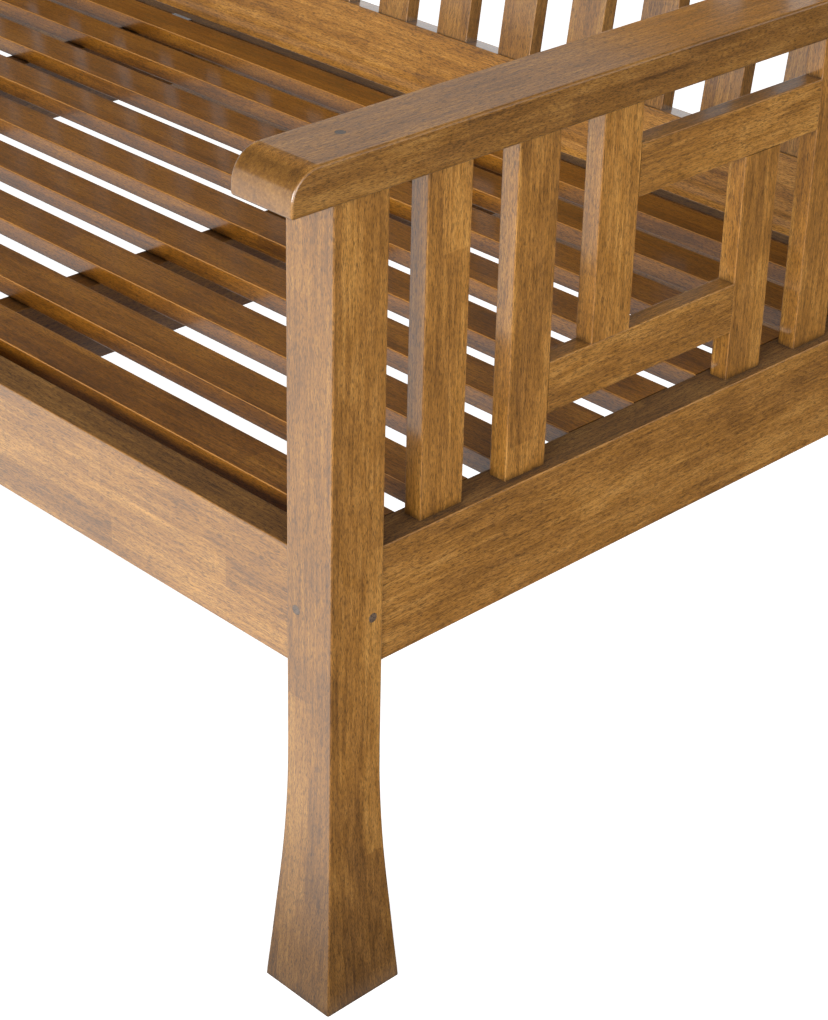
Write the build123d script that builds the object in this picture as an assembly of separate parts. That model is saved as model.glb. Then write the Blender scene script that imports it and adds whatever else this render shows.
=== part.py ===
from build123d import *
import os
from math import atan, cos, radians, sin, sqrt, tan

# Mission settle in stained hardwood, in millimetres and degrees. While it is built, X runs along the seat
# from its middle, Y runs back from the front posts' faces and Z runs up from the floor. At the end it moves
# along Y, so that the origin is under the middle of its box.

# Overall sizes
settle_length = 2230.0
settle_depth = 812.0
seat_height = 408.0
arm_rise = 322.5
back_slat_length = 400.0
back_lean = 8.0

# Posts, with feet that flare on all four sides
post_width = 50.0
post_depth = 53.0
foot_flare = 13.0
flare_bend_height = 170.0
flare_blend = 65.0
foot_steps = 8
knee_radius = 150.0
post_arris = 1.6
foot_arris = 1.0

# Seat rails
rail_height = 101.0
rail_thickness = 33.0
rail_setback = 2.0
rail_arris = 1.2
rear_rail_drop = 20.0

# Arms
arm_width = 70.0
arm_taper = 7.0
arm_thickness = 33.5
arm_front_overhang = 43.5
arm_side_overhang = 6.0
arm_nose_radius = 25.0
arm_arris = 2.2
arm_toe_arris = 3.0

# Slats and crosspieces of the two sides
side_slat_width = 45.0
side_slat_thickness = 17.5
side_slat_place_shares = (0.068, 0.1997, 0.3314, 0.5822, 0.7139, 0.8569)
side_slat_setback = 11.0
crosspiece_height = 45.0
crosspiece_gap = 44.5
crosspiece_arm_gap = 42.5
slat_arris = 1.0

# Seat slats, and the bearers and cleats under them
seat_slat_count = 9
seat_slat_width = 44.0
seat_slat_thickness = 18.0
seat_slat_front_gap = 18.5
seat_slat_rear_gap = 39.5
seat_slat_end_gap = 0.5
seat_slat_arris = 1.5
bearer_count = 3
bearer_pitch_share = 0.505
bearer_thickness = 33.0
bearer_height = 75.0
cleat_width = 20.0
cleat_height = 30.0
cleat_end_gap = 1.0

# The back, between the raked rear posts
back_rail_height = 77.0
back_rail_thickness = 26.0
back_rail_setback = 1.0
back_rail_drop = 3.0
back_rail_horn = 12.0
back_slat_count = 23
back_slat_end_gap = 30.5
back_slat_setback = 3.0

# Joints
rail_tenon_length = 23.0
rail_tenon_thickness = 12.0
rail_tenon_shoulder = 12.0
back_tenon_thickness = 10.0
slat_tenon_length = 12.0
slat_tenon_shoulder = 3.0
bearer_tenon_length = 12.0
bearer_tenon_shoulder = 8.0
post_tenon_width = 26.0
post_tenon_height = 20.0
joint_clearance = 0.2

# Pegs, dowels and screws
peg_diameter = 8.0
peg_length = 40.0
peg_inset = 10.6
front_peg_drop = 50.5
side_peg_drop = 57.0
arm_peg_length = 45.0
arm_peg_from_side = 31.0
arm_peg_from_front = 34.0
peg_clearance = 0.1
slat_dowel_length = 24.0
slat_dowel_rise = 9.0
arm_dowel_length = 50.0
arm_dowel_spacing = 24.0
screw_count = 4
screw_end_margin = 70.0
screw_shank_diameter = 4.0
screw_head_diameter = 8.0
screw_head_height = 3.0
screw_length = 40.0

# Places worked out from the sizes above
outer_x = settle_length / 2
post_inner_x = outer_x - post_width
rail_outer_x = outer_x - rail_setback
rail_inner_x = rail_outer_x - rail_thickness
rail_bottom = seat_height - rail_height
front_rail_back = rail_setback + rail_thickness
rear_rail_front = settle_depth - rail_setback - rail_thickness
rear_rail_top = seat_height - rear_rail_drop
rear_post_front = settle_depth - post_depth
arm_height = seat_height + arm_rise
arm_bottom = arm_height - arm_thickness
arm_outer_x = outer_x + arm_side_overhang
arm_inner_x = arm_outer_x - arm_width
slat_underside = seat_height - seat_slat_thickness
side_slat_outer_x = outer_x - side_slat_setback
side_slat_inner_x = side_slat_outer_x - side_slat_thickness
seat_slat_end_x = rail_inner_x - seat_slat_end_gap
lean = radians(back_lean)
back_low = back_rail_height - back_rail_drop
back_high = back_low + back_slat_length
rake_length = back_high + back_rail_height + back_rail_horn
back_height = seat_height + rake_length * cos(lean)
rear_reach = rear_post_front + rake_length * sin(lean) + post_depth * cos(lean)


def block(box):
    """A plain block between its lowest and highest corners."""
    low, high = box
    size = [h - l for l, h in zip(low, high)]
    middle = [(l + h) / 2 for l, h in zip(low, high)]
    return Pos(*middle) * Box(*size)


def pocket(box, clearance=joint_clearance):
    """The mortise for a tenon: its block, wider by the clearance all round."""
    low, high = box
    return block(([l - clearance for l in low], [h + clearance for h in high]))


def board(box, run, arris):
    """A block whose edges along one axis are eased."""
    solid = block(box)
    return fillet(solid.edges().filter_by(run), arris)


def rod(start, way, length, diameter):
    """A round rod from a point along a direction."""
    return extrude(Plane(start, z_dir=way) * Circle(diameter / 2), length)


def mirrored_box(box):
    """The same box on the other side of the settle."""
    (x0, y0, z0), (x1, y1, z1) = box
    return (-x1, y0, z0), (-x0, y1, z1)


def on_left(solid):
    """The left-hand copy of a right-hand piece."""
    return mirror(solid, about=Plane.YZ)


def raked(solid):
    """Leans a piece that was built upright on the rear posts' front faces."""
    hinge = Pos(0, rear_post_front, seat_height)
    return hinge * Rot(-back_lean, 0, 0) * hinge.inverse() * solid


def raked_front(height):
    """Where the raked face of a rear post is at some height above the seat."""
    return rear_post_front + (height - seat_height) * tan(lean)


# Posts

def flare_outset(height):
    """How far a foot stands out at some height. Its straight slope runs into the leg through an arc."""
    slope = atan(foot_flare / flare_bend_height)
    arc_top = flare_bend_height + flare_blend
    if height >= arc_top:
        return 0
    if height <= flare_bend_height - flare_blend * cos(slope):
        return foot_flare - height * tan(slope)
    radius = flare_blend / tan(slope / 2)
    return radius - sqrt(radius ** 2 - (arc_top - height) ** 2)


def post_section(plane, outset):
    """A post's cross-section with eased corners, larger all round by the outset."""
    return plane * RectangleRounded(post_width + 2 * outset, post_depth + 2 * outset, post_arris)


def leg(front_y, height):
    """The right leg of a post: its sole with eased edges, its flared foot and its straight shank."""
    middle = outer_x - post_width / 2, front_y + post_depth / 2
    top = flare_bend_height + flare_blend
    sole = post_section(Plane((*middle, 0)), flare_outset(0) - foot_arris)
    heights = [foot_arris + (top - foot_arris) * i / foot_steps for i in range(foot_steps + 1)]
    sections = [post_section(Plane((*middle, z)), flare_outset(z)) for z in heights]
    foot = loft([sole, sections[0]], ruled=True) + loft(sections)
    return foot + extrude(sections[-1], height - top)


def front_post():
    """The right front post, with its head tenon, its two rail mortises and its peg holes."""
    post = leg(0, arm_bottom)
    post += block(head_tenon())
    post -= pocket(front_rail_tenon())
    post -= pocket(side_rail_front_tenon())
    for start, way in front_post_pegs():
        post -= peg_hole(start, way, peg_length)
    return post - peg_hole(arm_peg_start(), (0, 0, -1), arm_peg_length)


def rear_post():
    """The right rear post: straight to the seat, then bent through a knee and raked."""
    knee_reach = (knee_radius + post_depth) * tan(lean / 2)
    knee_start = seat_height - knee_reach
    knee_axis = Axis((0, settle_depth + knee_radius, knee_start), (1, 0, 0))
    middle = outer_x - post_width / 2, rear_post_front + post_depth / 2
    section = post_section(Plane((*middle, knee_start)), 0)
    post = leg(rear_post_front, knee_start)
    post += revolve(section, knee_axis, -back_lean)
    rake = section.rotate(knee_axis, -back_lean)
    length = rake_length - knee_reach - post_arris
    rake_plane = Plane(rake.face())
    post += extrude(rake, length)
    end = Pos(*(rake_plane.z_dir * length)) * rake
    tip_plane = rake_plane.offset(length + post_arris)
    post += loft([end, post_section(tip_plane, -post_arris)], ruled=True)
    post -= pocket(rear_rail_tenon())
    post -= pocket(side_rail_rear_tenon())
    for box in back_rail_tenons():
        post -= raked(pocket(box))
    for start, way in rear_post_pegs():
        post -= peg_hole(start, way, peg_length)
    for start in arm_dowel_starts():
        post -= peg_hole(start, (0, 1, 0), arm_dowel_length)
    return post


def head_tenon():
    """The tenon on a front post's head, which the arm sits over."""
    x = outer_x - post_width / 2
    y = post_depth / 2
    half = post_tenon_width / 2
    return (x - half, y - half, arm_bottom), (x + half, y + half, arm_bottom + post_tenon_height)


# Seat rails

def long_rail_tenon(front_y, top):
    """The right tenon of a front or rear rail, in the middle of its thickness."""
    x = post_inner_x + rail_tenon_length
    y = front_y + (rail_thickness - rail_tenon_thickness) / 2
    low, high = top - rail_height + rail_tenon_shoulder, top - rail_tenon_shoulder
    return (post_inner_x, y, low), (x, y + rail_tenon_thickness, high)


def front_rail_tenon():
    """The front rail's right tenon."""
    return long_rail_tenon(rail_setback, seat_height)


def rear_rail_tenon():
    """The rear rail's right tenon."""
    return long_rail_tenon(rear_rail_front, rear_rail_top)


def side_rail_front_tenon():
    """The right side rail's tenon in the front post. It stops short of the front rail's tenon."""
    x = rail_inner_x + (rail_thickness - rail_tenon_thickness) / 2
    low, high = rail_bottom + rail_tenon_shoulder, seat_height - rail_tenon_shoulder
    length = post_depth - rail_setback - (rail_thickness + rail_tenon_thickness) / 2 - rail_setback
    return (x, post_depth - length, low), (x + rail_tenon_thickness, post_depth, high)


def side_rail_rear_tenon():
    """The right side rail's tenon in the rear post, the mirror of the one in the front post."""
    (x0, y0, low), (x1, y1, high) = side_rail_front_tenon()
    return (x0, settle_depth - y1, low), (x1, settle_depth - y0, high)


def long_rail(front_y, top, tenon, pegs):
    """A front or rear rail with a tenon at each end, housings for the bearers and holes for its pegs."""
    box = (-post_inner_x, front_y, top - rail_height), (post_inner_x, front_y + rail_thickness, top)
    rail = board(box, Axis.X, rail_arris)
    rail += block(tenon)
    rail += block(mirrored_box(tenon))
    for x in bearer_places():
        for box in bearer_tenons(x):
            rail -= pocket(box)
    for start, way in pegs:
        hole = peg_hole(start, way, peg_length)
        rail -= hole
        rail -= on_left(hole)
    return rail


def side_rail():
    """The right side rail, with mortises in its top for the slats that stand on it."""
    rail = board(((rail_inner_x, post_depth, rail_bottom), (rail_outer_x, rear_post_front, seat_height)),
                 Axis.Y, rail_arris)
    rail += block(side_rail_front_tenon())
    rail += block(side_rail_rear_tenon())
    for y, foot, head in side_slats().values():
        if foot == seat_height:
            rail -= pocket(slat_foot_tenon(y, foot))
    for start, way in (front_post_pegs()[1], rear_post_pegs()[1]):
        rail -= peg_hole(start, way, peg_length)
    for y in screw_places():
        rail -= screw(y)
    return rail


# Arms

def arm():
    """The right arm: a flat board that narrows to a rounded nose, cut to the rake of the rear post."""
    rear_low = raked_front(arm_bottom)
    rear_high = raked_front(arm_height)
    front = -arm_front_overhang
    points = [(front, arm_bottom), (front, arm_height), (rear_high, arm_height), (rear_low, arm_bottom)]
    face = make_face(Polyline(*[(arm_inner_x, y, z) for y, z in points], close=True)).face()
    for height, radius in ((arm_height, arm_nose_radius), (arm_bottom, arm_toe_arris)):
        corner = face.vertices().sort_by_distance(Vector(arm_inner_x, front, height))[0]
        face = face.fillet_2d(radius, [corner])
    solid = extrude(face, arm_width, dir=(1, 0, 0)) - arm_taper_waste(front, settle_depth)
    solid = fillet([e for e in solid.edges() if not runs_across(e) and e.center().Y < rear_low], arm_arris)
    solid -= pocket(head_tenon())
    for y, foot, head in side_slats().values():
        if head == arm_bottom:
            solid -= pocket(slat_head_tenon(y, head))
    for start in arm_dowel_starts():
        solid -= peg_hole(start, (0, 1, 0), arm_dowel_length)
    return solid - peg_hole(arm_peg_start(), (0, 0, -1), arm_peg_length)


def arm_taper_waste(front, rear):
    """The long wedge sawn off the right arm's inner edge, which narrows it towards the nose."""
    corners = [(arm_inner_x, rear), (arm_inner_x, front), (arm_inner_x + arm_taper, front)]
    face = make_face(Polyline(*[(x, y, arm_bottom) for x, y in corners], close=True)).face()
    return extrude(face, arm_thickness, dir=(0, 0, 1))


def runs_across(edge):
    """Whether an edge runs along X."""
    size = edge.bounding_box().size
    return size.X > max(size.Y, size.Z)


# Slats and crosspieces of the sides

def side_slats():
    """Each slat of a side by name: its front edge, its foot and its head."""
    places = [post_depth + share * (rear_post_front - post_depth) for share in side_slat_place_shares]
    low_top = seat_height + crosspiece_gap + crosspiece_height
    high_bottom = arm_bottom - crosspiece_arm_gap - crosspiece_height
    return {
        "slat_1": (places[0], seat_height, arm_bottom),
        "slat_2": (places[1], seat_height, arm_bottom),
        "slat_3_upper": (places[2], low_top, arm_bottom),
        "slat_4_lower": (places[3], seat_height, high_bottom),
        "slat_5": (places[4], seat_height, arm_bottom),
        "slat_6": (places[5], seat_height, arm_bottom),
    }


def crosspieces():
    """The two crosspieces by name: their front and rear ends and their lower edge."""
    slats = side_slats()
    low = slats["slat_2"][0] + side_slat_width, slats["slat_4_lower"][0], seat_height + crosspiece_gap
    high = slats["slat_3_upper"][0] + side_slat_width, slats["slat_5"][0], slats["slat_4_lower"][2]
    return {"lower_crosspiece": low, "upper_crosspiece": high}


def slat_tenon(y, low, high):
    """A slat's tenon between two heights, set in by its shoulders."""
    x0 = side_slat_inner_x + slat_tenon_shoulder
    x1 = side_slat_outer_x - slat_tenon_shoulder
    return (x0, y + slat_tenon_shoulder, low), (x1, y + side_slat_width - slat_tenon_shoulder, high)


def slat_foot_tenon(y, foot):
    """The tenon under a slat's foot."""
    return slat_tenon(y, foot - slat_tenon_length, foot)


def slat_head_tenon(y, head):
    """The tenon over a slat's head."""
    return slat_tenon(y, head, head + slat_tenon_length)


def crosspiece_tenons(start, end, bottom):
    """The tenons at a crosspiece's two ends."""
    x0 = side_slat_inner_x + slat_tenon_shoulder
    x1 = side_slat_outer_x - slat_tenon_shoulder
    z0 = bottom + slat_tenon_shoulder
    z1 = bottom + crosspiece_height - slat_tenon_shoulder
    front = (x0, start - slat_tenon_length, z0), (x1, start, z1)
    rear = (x0, end, z0), (x1, end + slat_tenon_length, z1)
    return front, rear


def side_slat(name):
    """One right-hand slat, with the mortises of the crosspieces that end in it."""
    y, foot, head = side_slats()[name]
    box = (side_slat_inner_x, y, foot), (side_slat_outer_x, y + side_slat_width, head)
    slat = board(box, Axis.Z, slat_arris)
    slat += block(slat_foot_tenon(y, foot))
    slat += block(slat_head_tenon(y, head))
    for start, end, bottom in crosspieces().values():
        front, rear = crosspiece_tenons(start, end, bottom)
        if y + side_slat_width == start:
            slat -= pocket(front)
        if y == end:
            slat -= pocket(rear)
    return slat


def crosspiece(name):
    """One right-hand crosspiece, with the mortise of the short slat that meets it half way along."""
    start, end, bottom = crosspieces()[name]
    top = bottom + crosspiece_height
    piece = board(((side_slat_inner_x, start, bottom), (side_slat_outer_x, end, top)), Axis.Y, slat_arris)
    for box in crosspiece_tenons(start, end, bottom):
        piece += block(box)
    for y, foot, head in side_slats().values():
        if foot == top:
            piece -= pocket(slat_foot_tenon(y, foot))
        if head == bottom:
            piece -= pocket(slat_head_tenon(y, head))
    return piece


# The seat

def bearer_places():
    """The middle of each bearer along the seat."""
    pitch = bearer_pitch_share * rail_inner_x
    return [(i - (bearer_count - 1) / 2) * pitch for i in range(bearer_count)]


def bearer_tenons(x):
    """The stub tenons of a bearer in the front and rear rails."""
    half = bearer_thickness / 2 - bearer_tenon_shoulder
    low = slat_underside - bearer_height + bearer_tenon_shoulder
    high = slat_underside - bearer_tenon_shoulder
    front = (x - half, front_rail_back - bearer_tenon_length, low), (x + half, front_rail_back, high)
    rear = (x - half, rear_rail_front, low), (x + half, rear_rail_front + bearer_tenon_length, high)
    return front, rear


def bearer(x):
    """One bearer on edge under the slats, with its stub tenons and dowel holes."""
    low = slat_underside - bearer_height
    piece = board(((x - bearer_thickness / 2, front_rail_back, low),
                   (x + bearer_thickness / 2, rear_rail_front, slat_underside)), Axis.Y, slat_arris)
    for box in bearer_tenons(x):
        piece += block(box)
    return drilled(piece, x)


def cleat():
    """The right cleat, which carries the slats' ends along the side rail."""
    low = slat_underside - cleat_height
    piece = board(((rail_inner_x - cleat_width, post_depth + cleat_end_gap, low),
                   (rail_inner_x, rear_post_front - cleat_end_gap, slat_underside)), Axis.Y, slat_arris)
    for y in screw_places():
        piece -= screw(y)
    return drilled(piece, cleat_middle())


def cleat_middle():
    """The line of dowels along the right cleat."""
    return rail_inner_x - cleat_width / 2


def seat_slat_places():
    """The front edge of each seat slat."""
    first = front_rail_back + seat_slat_front_gap
    last = rear_rail_front - seat_slat_rear_gap - seat_slat_width
    return [first + i * (last - first) / (seat_slat_count - 1) for i in range(seat_slat_count)]


def support_places():
    """Where the slats are held along the seat: the two cleats and the bearers."""
    return [-cleat_middle(), *bearer_places(), cleat_middle()]


def slat_dowel_start(x, y):
    """The lower end of the dowel that holds the slat with front edge y on the support at x."""
    return x, y + seat_slat_width / 2, slat_underside + slat_dowel_rise - slat_dowel_length


def drilled(piece, x):
    """A support at x with the holes of its slat dowels."""
    for y in seat_slat_places():
        piece -= peg_hole(slat_dowel_start(x, y), (0, 0, 1), slat_dowel_length)
    return piece


def seat_slat(y):
    """One seat slat, drilled from below over each support."""
    box = (-seat_slat_end_x, y, slat_underside), (seat_slat_end_x, y + seat_slat_width, seat_height)
    slat = board(box, Axis.X, seat_slat_arris)
    for x in support_places():
        slat -= peg_hole(slat_dowel_start(x, y), (0, 0, 1), slat_dowel_length)
    return slat


# The back, built upright and then raked

def back_rail(low, slat_boxes):
    """A rail of the back whose lower edge is that far up the rake."""
    y = rear_post_front + back_rail_setback
    z = seat_height + low
    box = (-post_inner_x, y, z), (post_inner_x, y + back_rail_thickness, z + back_rail_height)
    rail = board(box, Axis.X, rail_arris)
    tenon = back_rail_tenon(low)
    rail += block(tenon)
    rail += block(mirrored_box(tenon))
    for slot in slat_boxes:
        rail -= pocket(slot)
    return raked(rail)


def back_rail_tenon(low):
    """The right tenon of a rail of the back, before it is raked."""
    y = rear_post_front + back_rail_setback + (back_rail_thickness - back_tenon_thickness) / 2
    z = seat_height + low + rail_tenon_shoulder
    height = back_rail_height - 2 * rail_tenon_shoulder
    return (post_inner_x, y, z), (post_inner_x + rail_tenon_length, y + back_tenon_thickness, z + height)


def back_rail_tenons():
    """The right tenons of both rails of the back, before they are raked."""
    return back_rail_tenon(-back_rail_drop), back_rail_tenon(back_high)


def back_slat_places():
    """The middle of each back slat along the settle."""
    last = post_inner_x - back_slat_end_gap - side_slat_width / 2
    return [(2 * i / (back_slat_count - 1) - 1) * last for i in range(back_slat_count)]


def back_slat_tenons(x):
    """The foot and head tenons of a back slat, before it is raked."""
    half = side_slat_width / 2 - slat_tenon_shoulder
    y0 = rear_post_front + back_rail_setback + back_slat_setback + slat_tenon_shoulder
    y1 = y0 + side_slat_thickness - 2 * slat_tenon_shoulder
    low, high = seat_height + back_low, seat_height + back_high
    return (((x - half, y0, low - slat_tenon_length), (x + half, y1, low)),
            ((x - half, y0, high), (x + half, y1, high + slat_tenon_length)))


def back_slat(x):
    """One back slat."""
    y = rear_post_front + back_rail_setback + back_slat_setback
    half = side_slat_width / 2
    low, high = seat_height + back_low, seat_height + back_high
    slat = board(((x - half, y, low), (x + half, y + side_slat_thickness, high)), Axis.Z, slat_arris)
    for box in back_slat_tenons(x):
        slat += block(box)
    return raked(slat)


# Pegs, dowels and screws

def peg_hole(start, way, length):
    """The hole of a peg or dowel, wider by its clearance."""
    return rod(start, way, length, peg_diameter + 2 * peg_clearance)


def front_post_pegs():
    """The pegs of the right front post: one through the front rail's tenon, one through the side rail's."""
    front = (post_inner_x + peg_inset, 0, seat_height - front_peg_drop), (0, 1, 0)
    side = (outer_x, post_depth - peg_inset, seat_height - side_peg_drop), (-1, 0, 0)
    return front, side


def rear_post_pegs():
    """The pegs of the right rear post, driven from the rear and from the side."""
    rear = (post_inner_x + peg_inset, settle_depth, seat_height - front_peg_drop), (0, -1, 0)
    side = (outer_x, rear_post_front + peg_inset, seat_height - side_peg_drop), (-1, 0, 0)
    return rear, side


def arm_peg_start():
    """The visible end of the peg that holds the right arm on its post's tenon."""
    return outer_x - arm_peg_from_side, arm_peg_from_front, arm_height


def arm_dowel_starts():
    """The front ends of the two dowels between the right arm and the rear post."""
    height = arm_height - arm_thickness / 2
    y = raked_front(height) - arm_dowel_length / 2
    x = outer_x - post_width / 2
    return [(x + side * arm_dowel_spacing / 2, y, height) for side in (-1, 1)]


def screw_places():
    """Where the cleats' screws are along the side rails."""
    first = post_depth + screw_end_margin
    last = rear_post_front - screw_end_margin
    return [first + i * (last - first) / (screw_count - 1) for i in range(screw_count)]


def screw(y):
    """A countersunk screw through the right cleat into the side rail, between two dowels."""
    x = rail_inner_x - cleat_width
    z = slat_underside - cleat_height + screw_head_diameter
    head = Solid.make_cone(screw_head_diameter / 2, screw_shank_diameter / 2, screw_head_height,
                           Plane((x, y, z), z_dir=(1, 0, 0)))
    return head + rod((x, y, z), (1, 0, 0), screw_length, screw_shank_diameter)


def pegs():
    """Every visible peg of the rails and posts."""
    places = (*front_post_pegs(), *rear_post_pegs())
    right = [rod(start, way, peg_length, peg_diameter) for start, way in places]
    return right + [on_left(peg) for peg in right]


def arm_pegs():
    """The peg in the top of each arm."""
    right = rod(arm_peg_start(), (0, 0, -1), arm_peg_length, peg_diameter)
    return [right, on_left(right)]


def arm_dowels():
    """The dowels between the arms and the rear posts."""
    right = [rod(start, (0, 1, 0), arm_dowel_length, peg_diameter) for start in arm_dowel_starts()]
    return right + [on_left(dowel) for dowel in right]


def slat_dowels():
    """The dowels under every seat slat."""
    return [rod(slat_dowel_start(x, y), (0, 0, 1), slat_dowel_length, peg_diameter)
            for x in support_places() for y in seat_slat_places()]


def cleat_screws():
    """The screws of both cleats."""
    right = [screw(y) for y in screw_places()]
    return right + [on_left(one) for one in right]


# Writing the pieces

def settle_pieces():
    """Every node by name, with its solids."""
    foot_tenons, head_tenons = zip(*[back_slat_tenons(x) for x in back_slat_places()])
    pieces = {
        "front_rail": [long_rail(rail_setback, seat_height, front_rail_tenon(), front_post_pegs()[:1])],
        "rear_rail": [long_rail(rear_rail_front, rear_rail_top, rear_rail_tenon(), rear_post_pegs()[:1])],
        "back_bottom_rail": [back_rail(-back_rail_drop, foot_tenons)],
        "back_top_rail": [back_rail(back_high, head_tenons)],
        "rail_pegs": pegs(),
        "arm_pegs": arm_pegs(),
        "arm_dowels": arm_dowels(),
        "slat_dowels": slat_dowels(),
        "cleat_screws": cleat_screws(),
    }
    handed = {"front_post": front_post(), "rear_post": rear_post()}
    handed |= {"side_rail": side_rail(), "arm": arm(), "cleat": cleat()}
    handed |= {"side_" + name: side_slat(name) for name in side_slats()}
    handed |= {"side_" + name: crosspiece(name) for name in crosspieces()}
    for name, solid in handed.items():
        pieces[name + "_right"] = [solid]
        pieces[name + "_left"] = [on_left(solid)]
    for i, y in enumerate(seat_slat_places()):
        pieces[f"seat_slat_{i + 1}"] = [seat_slat(y)]
    for i, x in enumerate(bearer_places()):
        pieces[f"bearer_{i + 1}"] = [bearer(x)]
    slats = [back_slat(x) for x in back_slat_places()]
    third = (len(slats) + 1) // 3
    pieces["back_slats_left"] = slats[:third]
    pieces["back_slats_middle"] = slats[third:len(slats) - third]
    pieces["back_slats_right"] = slats[len(slats) - third:]
    return pieces


def write(pieces):
    """One file for each node, moved so that the origin is under the middle of the whole settle."""
    os.makedirs("parts", exist_ok=True)
    whole = Compound(children=[solid for solids in pieces.values() for solid in solids]).bounding_box()
    to_middle = Pos(0, -whole.center().Y, 0)
    for name, solids in pieces.items():
        placed = [to_middle * solid for piece in solids for solid in piece.solids()]
        export_step(placed[0] if len(placed) == 1 else Compound(children=placed), f"parts/{name}.step")


write(settle_pieces())
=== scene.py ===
from math import radians

import bpy
from mathutils import Matrix, Vector


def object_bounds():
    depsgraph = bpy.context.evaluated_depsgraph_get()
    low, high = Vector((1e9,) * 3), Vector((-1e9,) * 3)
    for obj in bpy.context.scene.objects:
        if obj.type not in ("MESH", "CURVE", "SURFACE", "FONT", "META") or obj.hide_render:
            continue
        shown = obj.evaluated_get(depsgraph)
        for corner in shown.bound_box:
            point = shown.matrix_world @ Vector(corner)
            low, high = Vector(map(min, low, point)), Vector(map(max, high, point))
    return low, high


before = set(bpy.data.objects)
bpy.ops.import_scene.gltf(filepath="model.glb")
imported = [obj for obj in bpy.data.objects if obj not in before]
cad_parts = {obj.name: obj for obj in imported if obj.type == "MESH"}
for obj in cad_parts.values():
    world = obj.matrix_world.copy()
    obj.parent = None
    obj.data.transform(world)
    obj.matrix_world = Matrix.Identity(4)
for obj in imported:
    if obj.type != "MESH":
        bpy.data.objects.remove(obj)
CAD_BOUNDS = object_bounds()

bl_info = {
    "name": "Mission Settle",
    "version": (1, 0, 0),
    "blender": (4, 5, 0),
    "location": "3D View > Sidebar > Settle",
    "description": "Stained hardwood and lacquer for the mission settle, with its studio",
    "category": "Object",
}

MM = 0.001
WHITE = 1.0, 1.0, 1.0, 1.0
# Most of a noise pattern lies between these levels.
NOISE_RANGE = 0.3, 0.7


# Helpers

def linear(code):
    """An sRGB hex colour as Blender's linear colour, with full alpha."""
    parts = [int(code[i:i + 2], 16) / 255 for i in (1, 3, 5)]
    return [p / 12.92 if p <= 0.04045 else ((p + 0.055) / 1.055) ** 2.4 for p in parts] + [1.0]


def add_node(tree, kind, inputs=None, stops=(), **settings):
    """A node with its settings, its inputs and its ramp's stops. An input is set to a value or linked to a
    socket. In a Map Range, inputs 1 to 4 are the range it comes from and the range it goes to. In a Mix,
    inputs 2 and 3 are its numbers, and 6 and 7 its colours."""
    node = tree.nodes.new(kind)
    for name, value in settings.items():
        setattr(node, name, value)
    for key, value in (inputs or {}).items():
        if isinstance(value, bpy.types.NodeSocket):
            tree.links.new(value, node.inputs[key])
        else:
            node.inputs[key].default_value = value
    for i, (place, colour) in enumerate(stops):
        element = node.color_ramp.elements[i] if i < 2 else node.color_ramp.elements.new(place)
        element.position = place
        element.color = colour if isinstance(colour, (list, tuple)) else (colour, colour, colour, 1)
    return node


def new_tree(owner):
    """The empty node tree of a material or world."""
    owner.use_nodes = True
    owner.node_tree.nodes.clear()
    return owner.node_tree


def dress(starts, material):
    """Gives each CAD node whose name starts with one of these a material, and a number of its own."""
    for number, (name, node) in enumerate(sorted(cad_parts.items())):
        if name.startswith(starts):
            node["board"] = number * BOARD_STEP
            node.data.materials.clear()
            node.data.materials.append(material)


# Stained hardwood

# Each pattern's size along and across the grain in millimetres, its detail, its roughness and its distortion.
WOOD_PATTERNS = {
    "cloud": (120, 34, 2.0, 0.5, 0.5),
    "mottle": (34, 9, 3.0, 0.55, 0.8),
    "streak": (70, 2.2, 3.0, 0.6, 0.5),
    # Real pores are 0.2 mm wide. They are drawn about twice as wide, so that the render shows them.
    "pore": (4.4, 0.42, 1.0, 0.5, 0.3),
    "fleck": (1.6, 0.4, 2.0, 0.6, 0.2),
}
# A stave's length, width and thickness in millimetres, and how far the first ones are cut off, in staves.
STAVE_SIZE = 340, 27, 27
STAVE_START = 0.3, 0.37, 0.41
# How far the patterns of one board lie from those of the next.
BOARD_STEP = 1.37
# How much each pattern sways the tone, and the tones of the deep, the middle and the pale stain.
TONE_SHARES = {"stave": 0.13, "cloud": 0.42, "mottle": 0.3, "streak": 0.6}
STAIN_TONES = 0.25, 0.5, 0.75
# A mark's shade and the shade round it, each after the pattern's level there, and what end grain shows of it.
MARK_SHADES = {"pore": ((0.42, 0.08), (0.48, 1.0)), "fleck": ((0.3, 0.68), (0.65, 1.18))}
END_GRAIN_SHARE = 0.3
# The sum of a normal's fourth powers: 1 on a face, and a half where an arris faces between two axes.
ARRIS_RANGE = 0.65, 0.5
# How far a normal points up or down where a board's top or its underside begins, and where it is level.
TOP_RANGE = 0.85, 0.98
UNDERSIDE_RANGE = -0.3, -0.7
# The painted shade on undersides.
PAINTED_UNDERSIDE_SHADE = 0.5
# How near another piece the painted shade of a joint reaches, and how open a surface is where that shade is
# full and where it stops.
JOINT_REACH = 11 * MM
JOINT_RANGE = 0.45, 0.8
# Painted shade darkens a foot towards the floor, up to this height.
PAINTED_FOOT_SHADE_HEIGHT = 210 * MM
# The seat's stain is redder than the frame's.
SEAT_TINT = 1.0, 0.84, 0.36, 1.0
# How much the wood under the lacquer varies in roughness. Its pores are faint dents.
GLOSS_SPREAD = 0.06
PORE_DENT = 0.25 * MM
DENT_STRENGTH = 0.1
WOOD_IOR = 1.5
LACQUER_IOR = 1.6
LACQUER_ROUGHNESS = 0.13
# A dull top has little lacquer left on it.
DULL_FILM = 0.08
DULL_ROUGHNESS = 0.9


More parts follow.
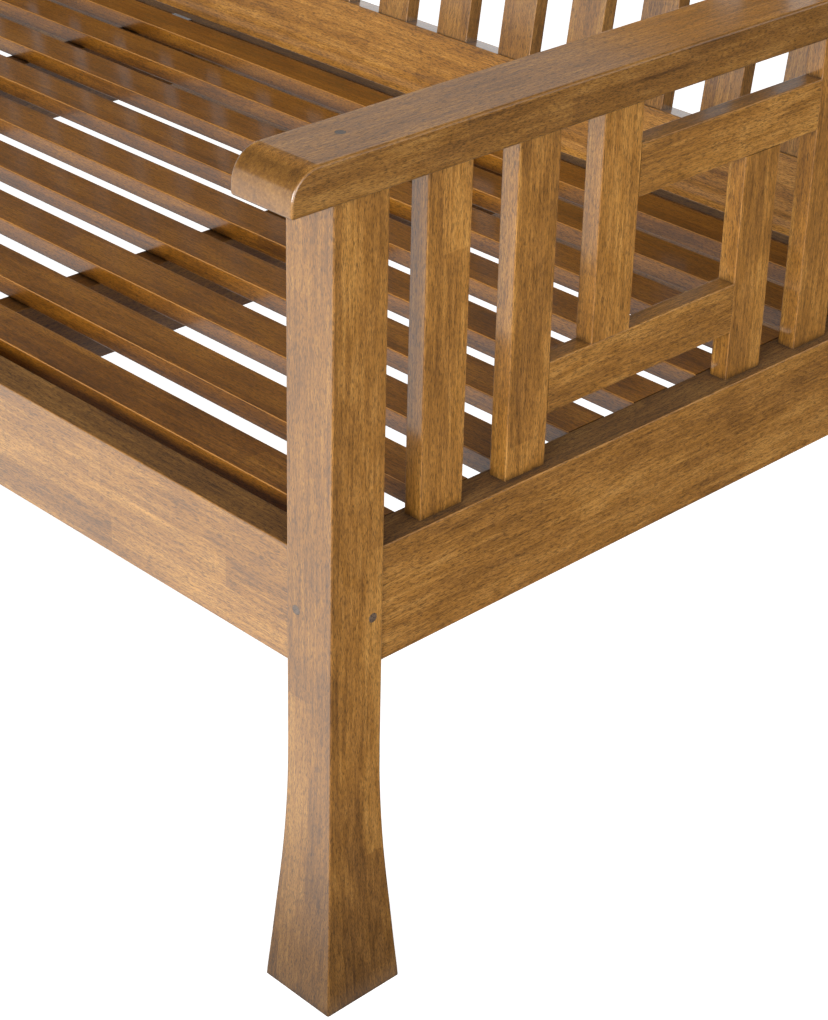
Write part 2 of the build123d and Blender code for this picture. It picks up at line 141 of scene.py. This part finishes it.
def stained_hardwood(name, stain, turn, tone=1.0, tint=WHITE, top=1.0, film=1.0, dull_top=False, rub=0.2,
                     foot_shade=0.0, nose=False):
    """Rubberwood, edge-glued from finger-jointed staves, wiped with a honey-walnut stain and sprayed with
    semi-gloss lacquer. The eye sees staves of different tone, soft clouds where the stain took unevenly,
    long streaks, dense short dark pores along the grain, and a clear film that softly mirrors the room.

    turn lays the board's grain along X. tone is how light the stain is, tint its hue, top the painted light
    or shade on level tops, film how whole the lacquer is, dull_top whether it is worn thin there, rub how far
    the arrises are rubbed and lit with a painted highlight, foot_shade how dark the painted shade makes the
    foot, and nose whether the board ends in a rounded nose."""
    material = bpy.data.materials.new(name)
    tree = new_tree(material)
    here = add_node(tree, "ShaderNodeTexCoord").outputs
    board = add_node(tree, "ShaderNodeAttribute", attribute_type="OBJECT", attribute_name="board").outputs
    patterns = wood_patterns(tree, grain_along_x(tree, here["Object"], turn), board["Fac"])
    stains = stain.deep, stain.middle, stain.pale
    colour = stain_colour(tree, patterns, [[c * tone * t for c, t in zip(one, tint)] for one in stains])
    colour = marked(tree, colour, patterns, grain_along_x(tree, here["Normal"], turn), stain.pore_depth)
    # Lighter arrises, partly stain rubbed off and partly a painted highlight.
    arris = rubbed_and_highlit_arris(tree, here["Normal"], nose, rub * stain.rubbed_and_highlit_edges)
    colour = add_node(tree, "ShaderNodeMix", {0: arris, 6: colour, 7: stain.rubbed},
                      data_type="RGBA").outputs[2]
    # Painted light and shade: level tops lighter or darker, undersides and joints darker, and the foot darker
    # towards the floor.
    rise = add_node(tree, "ShaderNodeSeparateXYZ", {0: here["Normal"]}).outputs[2]
    painted_shades = [painted_level_shade(tree, rise, top), painted_joint_shade(tree, stain.painted_joint_darkness)]
    # Painted shade: the foot darker towards the floor.
    if foot_shade:
        height = add_node(tree, "ShaderNodeSeparateXYZ", {0: here["Object"]}).outputs[2]
        painted_shades.append(add_node(tree, "ShaderNodeMapRange", {
            0: height, 1: 0.0, 2: PAINTED_FOOT_SHADE_HEIGHT, 3: 1 - foot_shade, 4: 1.0}).outputs[0])
    for shade in painted_shades:
        colour = add_node(tree, "ShaderNodeMix", {0: 1.0, 6: colour, 7: shade},
                          data_type="RGBA", blend_type="MULTIPLY").outputs[2]
    gloss = add_node(tree, "ShaderNodeMapRange", {
        0: patterns["mottle"], 1: NOISE_RANGE[0], 2: NOISE_RANGE[1], 3: stain.roughness - GLOSS_SPREAD,
        4: stain.roughness + GLOSS_SPREAD}).outputs[0]
    if dull_top:
        film, gloss = [add_node(tree, "ShaderNodeMapRange", {
            0: rise, 1: TOP_RANGE[0], 2: TOP_RANGE[1], 3: full, 4: dull}).outputs[0]
            for full, dull in ((film, DULL_FILM), (gloss, DULL_ROUGHNESS))]
    relief = add_node(tree, "ShaderNodeBump", {
        "Strength": DENT_STRENGTH, "Distance": PORE_DENT, "Height": patterns["pore"]})
    shader = add_node(tree, "ShaderNodeBsdfPrincipled", {
        "Base Color": colour, "Roughness": gloss, "Normal": relief.outputs[0], "IOR": WOOD_IOR,
        "Coat Weight": film, "Coat Roughness": LACQUER_ROUGHNESS, "Coat IOR": LACQUER_IOR})
    add_node(tree, "ShaderNodeOutputMaterial", {0: shader.outputs[0]})
    return material


def grain_along_x(tree, vector, turn):
    """A place or a direction on a board, turned in steps until the grain runs along X."""
    for step in turn:
        vector = add_node(tree, "ShaderNodeMapping", {"Vector": vector, "Rotation": step}).outputs[0]
    return vector


def wood_patterns(tree, place, board):
    """A board's patterns by name. Each is a number from 0 to 1 that lies around a half."""
    patterns = {"stave": stave_pattern(tree, place, board)}
    for key, (along, across, detail, roughness, distortion) in WOOD_PATTERNS.items():
        scale = [1 / (size * MM) for size in (along, across, across)]
        sized = add_node(tree, "ShaderNodeMapping", {"Vector": place, "Scale": scale}).outputs[0]
        patterns[key] = add_node(tree, "ShaderNodeTexNoise", {
            "Vector": sized, "W": board, "Scale": 1.0, "Detail": detail, "Roughness": roughness,
            "Distortion": distortion}, noise_dimensions="4D").outputs["Fac"]
    return patterns


def stave_pattern(tree, place, board):
    """One chance number for each stave. Each row of staves slides along the board by a chance number too."""
    scale = [1 / (size * MM) for size in STAVE_SIZE]
    staves = add_node(tree, "ShaderNodeMapping", {
        "Vector": place, "Location": STAVE_START, "Scale": scale}).outputs[0]
    rows = add_node(tree, "ShaderNodeVectorMath", {0: staves, 1: (0, 1, 1)},
                    operation="MULTIPLY").outputs[0]
    rows = add_node(tree, "ShaderNodeVectorMath", {0: rows}, operation="FLOOR").outputs[0]
    chance = add_node(tree, "ShaderNodeTexWhiteNoise", {"Vector": rows, "W": board}, noise_dimensions="4D")
    slide = add_node(tree, "ShaderNodeCombineXYZ", {0: chance.outputs["Value"]}).outputs[0]
    cells = add_node(tree, "ShaderNodeVectorMath", {0: staves, 1: slide}, operation="ADD").outputs[0]
    cells = add_node(tree, "ShaderNodeVectorMath", {0: cells}, operation="FLOOR").outputs[0]
    chance = add_node(tree, "ShaderNodeTexWhiteNoise", {"Vector": cells, "W": board}, noise_dimensions="4D")
    return chance.outputs["Value"]


def stain_colour(tree, patterns, stains):
    """The stain, from deep to pale, by a tone that the patterns sway around a half."""
    tone = 0.5
    for key, share in TONE_SHARES.items():
        swing = add_node(tree, "ShaderNodeMath", {0: patterns[key], 1: 0.5}, operation="SUBTRACT")
        tone = add_node(tree, "ShaderNodeMath", {0: swing.outputs[0], 1: share, 2: tone},
                        operation="MULTIPLY_ADD").outputs[0]
    return add_node(tree, "ShaderNodeValToRGB", {0: tone}, list(zip(STAIN_TONES, stains))).outputs[0]


def marked(tree, colour, patterns, facing, depth):
    """The colour with pores and flecks. They are dashes along the board and hardly show on its end grain."""
    end = add_node(tree, "ShaderNodeVectorMath", {0: facing, 1: (1, 0, 0)}, operation="DOT_PRODUCT")
    end = end.outputs["Value"]
    end = add_node(tree, "ShaderNodeMath", {0: end, 1: end}, operation="MULTIPLY").outputs[0]
    strength = add_node(tree, "ShaderNodeMapRange", {0: end, 3: depth, 4: END_GRAIN_SHARE * depth}).outputs[0]
    for key, stops in MARK_SHADES.items():
        shade = add_node(tree, "ShaderNodeValToRGB", {0: patterns[key]}, stops).outputs[0]
        colour = add_node(tree, "ShaderNodeMix", {0: strength, 6: colour, 7: shade},
                          data_type="RGBA", blend_type="MULTIPLY").outputs[2]
    return colour


def rubbed_and_highlit_arris(tree, normal, nose, strength):
    """How far the arrises are lightened, partly as stain rubbed off by sanding and partly as a painted
    highlight: where the surface faces between two axes. A nose rounds from top to front, so these two count
    as one there."""
    squares = add_node(tree, "ShaderNodeVectorMath", {0: normal, 1: normal}, operation="MULTIPLY").outputs[0]
    if nose:
        across = add_node(tree, "ShaderNodeSeparateXYZ", {0: squares}).outputs[0]
        rest = add_node(tree, "ShaderNodeMath", {0: 1.0, 1: across}, operation="SUBTRACT").outputs[0]
        squares = add_node(tree, "ShaderNodeCombineXYZ", {0: across, 1: rest}).outputs[0]
    flat = add_node(tree, "ShaderNodeVectorMath", {0: squares, 1: squares}, operation="DOT_PRODUCT")
    return add_node(tree, "ShaderNodeMapRange", {
        0: flat.outputs["Value"], 1: ARRIS_RANGE[0], 2: ARRIS_RANGE[1], 3: 0.0, 4: strength}).outputs[0]


def painted_level_shade(tree, rise, top):
    """Painted shade on the undersides, and painted light or shade on level tops, for how light falls there.
    """
    shade = 1.0
    for (start, full), reached in ((UNDERSIDE_RANGE, PAINTED_UNDERSIDE_SHADE), (TOP_RANGE, top)):
        shade = add_node(tree, "ShaderNodeMapRange", {
            0: rise, 1: start, 2: full, 3: shade, 4: reached}).outputs[0]
    return shade


def painted_joint_shade(tree, strength):
    """Painted shade: darker where ambient occlusion finds another piece near, in joints and corners."""
    corner = add_node(tree, "ShaderNodeAmbientOcclusion", {"Distance": JOINT_REACH}, samples=6).outputs["AO"]
    return add_node(tree, "ShaderNodeMapRange", {
        0: corner, 1: JOINT_RANGE[0], 2: JOINT_RANGE[1], 3: 1 - strength, 4: 1.0}).outputs[0]


# Fixings

def peg_end_grain():
    """Beech pegs, cut flush and stained: end grain drinks the stain, so they are dark, with darker specks."""
    material = bpy.data.materials.new("stained_beech_peg")
    tree = new_tree(material)
    place = add_node(tree, "ShaderNodeTexCoord").outputs["Object"]
    speck_size = 1.1 * MM
    specks = add_node(tree, "ShaderNodeTexNoise", {"Vector": place, "Scale": 1 / speck_size, "Detail": 3.0})
    stops = list(zip(NOISE_RANGE, (linear("#382C24"), linear("#735E4C"))))
    colour = add_node(tree, "ShaderNodeValToRGB", {0: specks.outputs[0]}, stops).outputs[0]
    shader = add_node(tree, "ShaderNodeBsdfPrincipled", {
        "Base Color": colour, "Roughness": 0.4, "IOR": WOOD_IOR,
        "Coat Weight": 1.0, "Coat Roughness": LACQUER_ROUGHNESS, "Coat IOR": 1.5})
    add_node(tree, "ShaderNodeOutputMaterial", {0: shader.outputs[0]})
    return material


def zinc_plated_steel():
    """Zinc-plated steel screws: a pale cool metal with a faint uneven sheen."""
    material = bpy.data.materials.new("zinc_plated_steel")
    tree = new_tree(material)
    place = add_node(tree, "ShaderNodeTexCoord").outputs["Object"]
    patch_size = 1.6 * MM
    patches = add_node(tree, "ShaderNodeTexNoise", {"Vector": place, "Scale": 1 / patch_size, "Detail": 2.0})
    rough = add_node(tree, "ShaderNodeMapRange", {
        0: patches.outputs[0], 1: NOISE_RANGE[0], 2: NOISE_RANGE[1], 3: 0.25, 4: 0.45})
    shader = add_node(tree, "ShaderNodeBsdfPrincipled", {
        "Base Color": linear("#C2C4C0"), "Metallic": 1.0, "Roughness": rough.outputs[0]})
    add_node(tree, "ShaderNodeOutputMaterial", {0: shader.outputs[0]})
    return material


# The settle's finishes

class SettleStain(bpy.types.PropertyGroup):
    """The stain and its lacquer, with the painted shade of the joints and the painted highlight of the
    arrises.
    """
    deep: bpy.props.FloatVectorProperty(
        name="Deep tone", description="Where the stain took most",
        default=linear("#5E3B14"), size=4, subtype="COLOR")
    middle: bpy.props.FloatVectorProperty(
        name="Middle tone", description="Most of the board",
        default=linear("#966525"), size=4, subtype="COLOR")
    pale: bpy.props.FloatVectorProperty(
        name="Pale tone", description="Where the stain took least",
        default=linear("#BD8940"), size=4, subtype="COLOR")
    # Also the colour of the painted highlight along the arrises.
    rubbed: bpy.props.FloatVectorProperty(
        name="Rubbed tone", description="Where sanding rubbed the stain off",
        default=linear("#D89A52"), size=4, subtype="COLOR")
    seat_tone: bpy.props.FloatProperty(
        name="Seat", description="How light the seat is beside the frame",
        default=1.0, min=0, max=2, subtype="FACTOR")
    bearer_tone: bpy.props.FloatProperty(
        name="Bearers", description="How light the bearers and the cleats are beside the frame",
        default=0.6, min=0, max=2, subtype="FACTOR")
    pore_depth: bpy.props.FloatProperty(
        name="Pores", description="How dark the pores are", default=0.62, min=0, max=1, subtype="FACTOR")
    # How far the arrises take the rubbed tone, which is partly a painted highlight.
    rubbed_and_highlit_edges: bpy.props.FloatProperty(
        name="Rubbed edges", description="How far the arrises are rubbed",
        default=0.8, min=0, max=1, subtype="FACTOR")
    # Painted shade in joints and corners, found by ambient occlusion.
    painted_joint_darkness: bpy.props.FloatProperty(
        name="Dark joints", description="How dark the stain is in the joints",
        default=0.7, min=0, max=1, subtype="FACTOR")
    roughness: bpy.props.FloatProperty(
        name="Roughness", description="Roughness of the wood under its lacquer",
        default=0.42, min=0, max=1, subtype="FACTOR")


# How each run of grain turns onto X, in steps. The back's slats are stood upright before they are laid down.
ALONG_X = ()
ALONG_Y = ((0, 0, radians(-90)),)
UPRIGHT = ((0, radians(90), 0),)
RAKED = ((radians(8), 0, 0), (0, radians(90), 0))


class SETTLE_OT_posts(bpy.types.Operator):
    """Stains and lacquers the four posts"""
    bl_idname = "settle.posts"
    bl_label = "Stain the Posts"

    def execute(self, context):
        stain = context.scene.settle_stain
        # The posts' feet get painted shade towards the floor.
        wood = stained_hardwood("stained_rubberwood_posts", stain, UPRIGHT, rub=0.0, foot_shade=0.5)
        dress(("front_post", "rear_post"), wood)
        return {"FINISHED"}


class SETTLE_OT_rails(bpy.types.Operator):
    """Stains and lacquers the seat rails and the rails of the back"""
    bl_idname = "settle.rails"
    bl_label = "Stain the Rails"

    def execute(self, context):
        stain = context.scene.settle_stain
        # The long rails' level tops are darker with painted shade.
        wood = stained_hardwood("stained_rubberwood_long_rails", stain, ALONG_X, tone=1.12, top=0.72,
                                dull_top=True)
        dress(("front_rail", "rear_rail"), wood)
        # The back rails are painted lighter, standing in for the key light that falls on them.
        wood = stained_hardwood("stained_rubberwood_back_rails_painted_lighter", stain, ALONG_X, tone=1.4)
        dress(("back_bottom_rail", "back_top_rail"), wood)
        # The side rails' level tops are darker with painted shade.
        wood = stained_hardwood("stained_rubberwood_side_rails", stain, ALONG_Y, top=0.6, dull_top=True)
        dress(("side_rail",), wood)
        return {"FINISHED"}


class SETTLE_OT_arms(bpy.types.Operator):
    """Stains and lacquers the arms, with the slats and crosspieces under them"""
    bl_idname = "settle.arms"
    bl_label = "Stain the Arms"

    def execute(self, context):
        stain = context.scene.settle_stain
        # The arms' level tops are lighter with painted light.
        wood = stained_hardwood("stained_rubberwood_arms", stain, ALONG_Y, tone=0.72, top=2.2, nose=True)
        dress(("arm_right", "arm_left"), wood)
        wood = stained_hardwood("stained_rubberwood_crosspieces", stain, ALONG_Y)
        dress(("side_lower", "side_upper"), wood)
        wood = stained_hardwood("stained_rubberwood_side_slats", stain, UPRIGHT, tone=1.12)
        dress(("side_slat",), wood)
        return {"FINISHED"}


class SETTLE_OT_back(bpy.types.Operator):
    """Stains and lacquers the slats of the back"""
    bl_idname = "settle.back"
    bl_label = "Stain the Back"

    def execute(self, context):
        wood = stained_hardwood("stained_rubberwood_back_slats", context.scene.settle_stain, RAKED)
        dress(("back_slats",), wood)
        return {"FINISHED"}


class SETTLE_OT_seat(bpy.types.Operator):
    """Stains and lacquers the seat slats, the bearers and the cleats"""
    bl_idname = "settle.seat"
    bl_label = "Stain the Seat"

    def execute(self, context):
        stain = context.scene.settle_stain
        # The seat's arrises get the most rubbed stain and painted highlight.
        wood = stained_hardwood("stained_rubberwood_seat_slats", stain, ALONG_X, tone=stain.seat_tone,
                                tint=SEAT_TINT, film=0.65, rub=1.0)
        dress(("seat_slat",), wood)
        wood = stained_hardwood("stained_rubberwood_bearers", stain, ALONG_Y, tone=stain.bearer_tone,
                                tint=SEAT_TINT)
        dress(("bearer", "cleat_right", "cleat_left"), wood)
        return {"FINISHED"}


class SETTLE_OT_fixings(bpy.types.Operator):
    """Finishes the pegs, the dowels and the screws"""
    bl_idname = "settle.fixings"
    bl_label = "Finish the Fixings"

    def execute(self, context):
        dress(("rail_pegs", "arm_pegs", "arm_dowels", "slat_dowels"), peg_end_grain())
        dress(("cleat_screws",), zinc_plated_steel())
        return {"FINISHED"}


# The studio

SENSOR_WIDTH = 36.0
LAMP_AIM = 0.7, 0.0, 0.5
FLOOR_HALF = 12.0
# What the camera sees of the paper beyond the light that falls on it.
PAPER_GLOW = 0.7
# The lacquer mirrors a floor with painted light and shade: lit in front of the settle, shaded under it, and
# dark past its right end. The gaps are in metres: from the front out to the lit and the shaded floor, and
# from the right end in and out.
PAINTED_FLOOR_LEVELS = 1.2, 0.4
FRONT_GAPS = 0.153, 0.013
DARK_FLOOR_SHARE = 0.06
END_GAPS = 0.018, 0.022
# The lacquer mirrors the backdrop in a band. Each stop is how steeply the way to it rises, and its level.
BACKDROP_BAND = (0.3, 0.12), (0.36, 0.46), (0.41, 0.03)
# How far back a way points where the backdrop begins and where it is whole, and the room's level before it.
BACKDROP_RANGE = 0.0, 0.4
ROOM_LEVEL = 0.05
# How steeply a way rises where the paper ends and where only the room is left.
PAPER_END = 0.25, 0.34
# The surround lights the settle more from behind: how far back a way points, and its level there.
LIT_RANGE = -0.3, 0.6
LIT_LEVELS = 0.5, 2.2


class SettleStudio(bpy.types.PropertyGroup):
    """The camera and the lights."""
    lens: bpy.props.FloatProperty(name="Lens", description="Focal length", default=86.19, unit="CAMERA")
    camera_place: bpy.props.FloatVectorProperty(
        name="Camera", description="Place of the camera", default=(2.2453, -1.4640, 1.3224),
        subtype="TRANSLATION")
    yaw: bpy.props.FloatProperty(name="Yaw", description="Turn to the left", default=0.7881, subtype="ANGLE")
    pitch: bpy.props.FloatProperty(name="Pitch", description="Tilt down", default=0.5109, subtype="ANGLE")
    roll: bpy.props.FloatProperty(
        name="Roll", description="Tilt to the side", default=0.0250, subtype="ANGLE")
    key_power: bpy.props.FloatProperty(
        name="Key light", description="Power of the front lamp", default=690.0, unit="POWER")
    key_place: bpy.props.FloatVectorProperty(
        name="Key place", description="Place of the front lamp", default=(3.2, -7.7, 2.5),
        subtype="TRANSLATION")
    key_size: bpy.props.FloatProperty(
        name="Key size", description="Side of the front lamp", default=4.0, unit="LENGTH")
    fill_power: bpy.props.FloatProperty(
        name="Fill light", description="Power of the side lamp", default=46.0, unit="POWER")
    fill_place: bpy.props.FloatVectorProperty(
        name="Fill place", description="Place of the side lamp", default=(3.7, -1.2, 1.1),
        subtype="TRANSLATION")
    fill_size: bpy.props.FloatProperty(
        name="Fill size", description="Side of the side lamp", default=2.0, unit="LENGTH")
    surround: bpy.props.FloatProperty(name="Surround", description="Light of the room", default=0.36, min=0)


class SETTLE_OT_studio(bpy.types.Operator):
    """Sets up the floor, the lamps, the surround and the camera"""
    bl_idname = "settle.studio"
    bl_label = "Set Up the Studio"

    def execute(self, context):
        studio = context.scene.settle_studio
        paper_floor()
        soft_box("studio_key", studio.key_power, studio.key_place, studio.key_size)
        soft_box("studio_fill", studio.fill_power, studio.fill_place, studio.fill_size)
        white_surround(studio.surround)
        camera(studio)
        context.scene.view_settings.view_transform = "Standard"
        return {"FINISHED"}


def paper_floor():
    """A wide white paper floor, clear from beneath."""
    mesh = bpy.data.meshes.new("studio_floor")
    corners = [(x * FLOOR_HALF, y * FLOOR_HALF, 0) for x, y in ((-1, -1), (1, -1), (1, 1), (-1, 1))]
    mesh.from_pydata(corners, [], [(0, 1, 2, 3)])
    mesh.materials.append(white_paper())
    floor = bpy.data.objects.new("studio_floor", mesh)
    bpy.context.scene.collection.objects.link(floor)


def white_paper():
    """To the camera the paper is white but for the settle's soft shadow. In the lacquer it shows a painted
    reflection: bright in front, where the key lamp falls, with painted shade beside and under the settle."""
    material = bpy.data.materials.new("white_paper_floor")
    tree = new_tree(material)
    paper = add_node(tree, "ShaderNodeBsdfDiffuse", {"Color": linear("#F2F2F2")}).outputs[0]
    seen = add_node(tree, "ShaderNodeEmission", {"Strength": PAPER_GLOW}).outputs[0]
    shown = add_node(tree, "ShaderNodeAddShader", {0: paper, 1: seen}).outputs[0]
    gloss = add_node(tree, "ShaderNodeEmission", {"Strength": painted_floor_reflection(tree)}).outputs[0]
    ray = add_node(tree, "ShaderNodeLightPath").outputs
    beneath = add_node(tree, "ShaderNodeNewGeometry").outputs["Backfacing"]
    clear = add_node(tree, "ShaderNodeBsdfTransparent").outputs[0]
    surface = paper
    for where, there in ((ray["Is Camera Ray"], shown), (ray["Is Glossy Ray"], gloss), (beneath, clear)):
        surface = add_node(tree, "ShaderNodeMixShader", {0: where, 1: surface, 2: there}).outputs[0]
    add_node(tree, "ShaderNodeOutputMaterial", {0: surface})
    return material


def painted_floor_reflection(tree):
    """The floor's painted light and shade in the lacquer, by its place round the settle."""
    place = add_node(tree, "ShaderNodeTexCoord").outputs["Object"]
    place = add_node(tree, "ShaderNodeSeparateXYZ", {0: place}).outputs
    front, end = CAD_BOUNDS[0][1], CAD_BOUNDS[1][0]
    lit, shaded = PAINTED_FLOOR_LEVELS
    level = add_node(tree, "ShaderNodeMapRange", {
        0: place[1], 1: front - FRONT_GAPS[0], 2: front - FRONT_GAPS[1], 3: lit, 4: shaded}).outputs[0]
    beside = add_node(tree, "ShaderNodeMapRange", {
        0: place[0], 1: end - END_GAPS[0], 2: end + END_GAPS[1], 3: 1.0, 4: DARK_FLOOR_SHARE}).outputs[0]
    return add_node(tree, "ShaderNodeMath", {0: level, 1: beside}, operation="MULTIPLY").outputs[0]


def soft_box(name, power, place, size):
    """A square soft box aimed at the settle's near end."""
    data = bpy.data.lights.new(name, "AREA")
    data.energy = power
    data.size = size
    lamp = bpy.data.objects.new(name, data)
    lamp.location = place
    lamp.rotation_euler = (Vector(LAMP_AIM) - Vector(place)).to_track_quat("-Z", "Y").to_euler()
    bpy.context.scene.collection.objects.link(lamp)


def white_surround(strength):
    """White to the camera and softer where it lights the settle, brighter from behind than from in front. In
    the lacquer it is a band of white backdrop behind the settle and a dim room in front."""
    world = bpy.data.worlds.new("white_surround")
    bpy.context.scene.world = world
    tree = new_tree(world)
    way = add_node(tree, "ShaderNodeTexCoord").outputs["Generated"]
    way = add_node(tree, "ShaderNodeSeparateXYZ", {0: way}).outputs
    band = add_node(tree, "ShaderNodeValToRGB", {0: way[2]}, BACKDROP_BAND).outputs[0]
    behind = add_node(tree, "ShaderNodeMapRange", {
        0: way[1], 1: BACKDROP_RANGE[0], 2: BACKDROP_RANGE[1], 3: ROOM_LEVEL, 4: band}).outputs[0]
    low = add_node(tree, "ShaderNodeMapRange", {
        0: way[2], 1: PAPER_END[0], 2: PAPER_END[1], 3: 1.0, 4: 0.0}).outputs[0]
    mirrored = add_node(tree, "ShaderNodeMath", {0: behind, 1: low}, operation="MAXIMUM").outputs[0]
    lit = add_node(tree, "ShaderNodeMapRange", {
        0: way[1], 1: LIT_RANGE[0], 2: LIT_RANGE[1], 3: LIT_LEVELS[0], 4: LIT_LEVELS[1]}).outputs[0]
    lit = add_node(tree, "ShaderNodeMath", {0: lit, 1: strength}, operation="MULTIPLY").outputs[0]
    ray = add_node(tree, "ShaderNodeLightPath").outputs
    level = add_node(tree, "ShaderNodeMix", {0: ray["Is Glossy Ray"], 2: lit, 3: mirrored}).outputs[0]
    level = add_node(tree, "ShaderNodeMix", {0: ray["Is Camera Ray"], 2: level, 3: 1.0}).outputs[0]
    light = add_node(tree, "ShaderNodeBackground", {"Color": WHITE, "Strength": level})
    add_node(tree, "ShaderNodeOutputWorld", {0: light.outputs[0]})


def camera(studio):
    """The photograph's view."""
    data = bpy.data.cameras.new("studio_camera")
    data.lens = studio.lens
    data.sensor_width = SENSOR_WIDTH
    view = bpy.data.objects.new("studio_camera", data)
    turn = Matrix.Rotation(studio.yaw, 4, "Z") @ Matrix.Rotation(radians(90) - studio.pitch, 4, "X")
    view.matrix_world = Matrix.Translation(studio.camera_place) @ turn @ Matrix.Rotation(studio.roll, 4, "Z")
    bpy.context.scene.collection.objects.link(view)
    bpy.context.scene.camera = view


# The add-on

class SETTLE_PT_panel(bpy.types.Panel):
    """Lists the settle's steps"""
    bl_label = "Settle"
    bl_idname = "SETTLE_PT_panel"
    bl_space_type = "VIEW_3D"
    bl_region_type = "UI"
    bl_category = "Settle"

    def draw(self, context):
        for step in STEPS:
            self.layout.operator(step.bl_idname)


STEPS = (SETTLE_OT_posts, SETTLE_OT_rails, SETTLE_OT_arms, SETTLE_OT_back, SETTLE_OT_seat, SETTLE_OT_fixings,
         SETTLE_OT_studio)
CLASSES = (SettleStain, SettleStudio, *STEPS, SETTLE_PT_panel)


def register():
    for one in CLASSES:
        bpy.utils.register_class(one)
    bpy.types.Scene.settle_stain = bpy.props.PointerProperty(type=SettleStain)
    bpy.types.Scene.settle_studio = bpy.props.PointerProperty(type=SettleStudio)


def unregister():
    del bpy.types.Scene.settle_stain, bpy.types.Scene.settle_studio
    for one in reversed(CLASSES):
        bpy.utils.unregister_class(one)


def main():
    register()
    bpy.ops.settle.posts()
    bpy.ops.settle.rails()
    bpy.ops.settle.arms()
    bpy.ops.settle.back()
    bpy.ops.settle.seat()
    bpy.ops.settle.fixings()
    bpy.ops.settle.studio()


if __name__ == "__main__":
    main()
